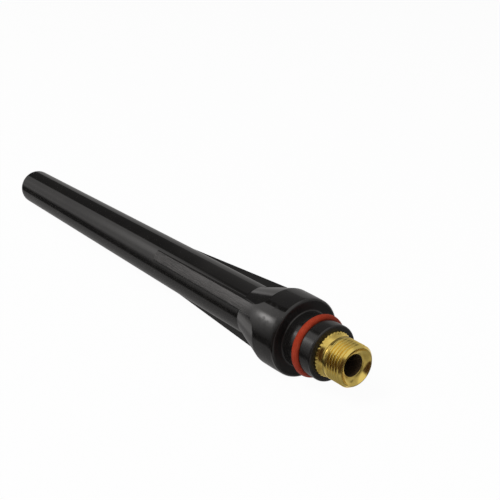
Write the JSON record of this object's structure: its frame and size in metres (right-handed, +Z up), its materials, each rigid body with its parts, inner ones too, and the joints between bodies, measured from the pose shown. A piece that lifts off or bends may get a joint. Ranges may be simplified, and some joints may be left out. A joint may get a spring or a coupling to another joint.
{
  "type": "welding torch back cap",
  "caption": "Long back cap for a gas tungsten arc welding torch: closed black tube with grip ribs, sealing ring and threaded brass nose that presses the collet.",
  "frame": {"origin": "centre of the seat face, on the axis of the cap", "axes": "+X along the axis out of the threaded nose, +Z up with one rib pointing straight down, +Y completes the right-handed frame"},
  "size_m": [0.1538, 0.0184, 0.0184],
  "materials": {
    "moulding": "satin black moulded phenolic",
    "brass": "turned and knurled",
    "seal": "matte red silicone"
  },
  "bodies": {
    "root": {"cap_body": "moulding", "threaded_insert": "brass", "o_ring": "seal"}
  },
  "joints": []
}
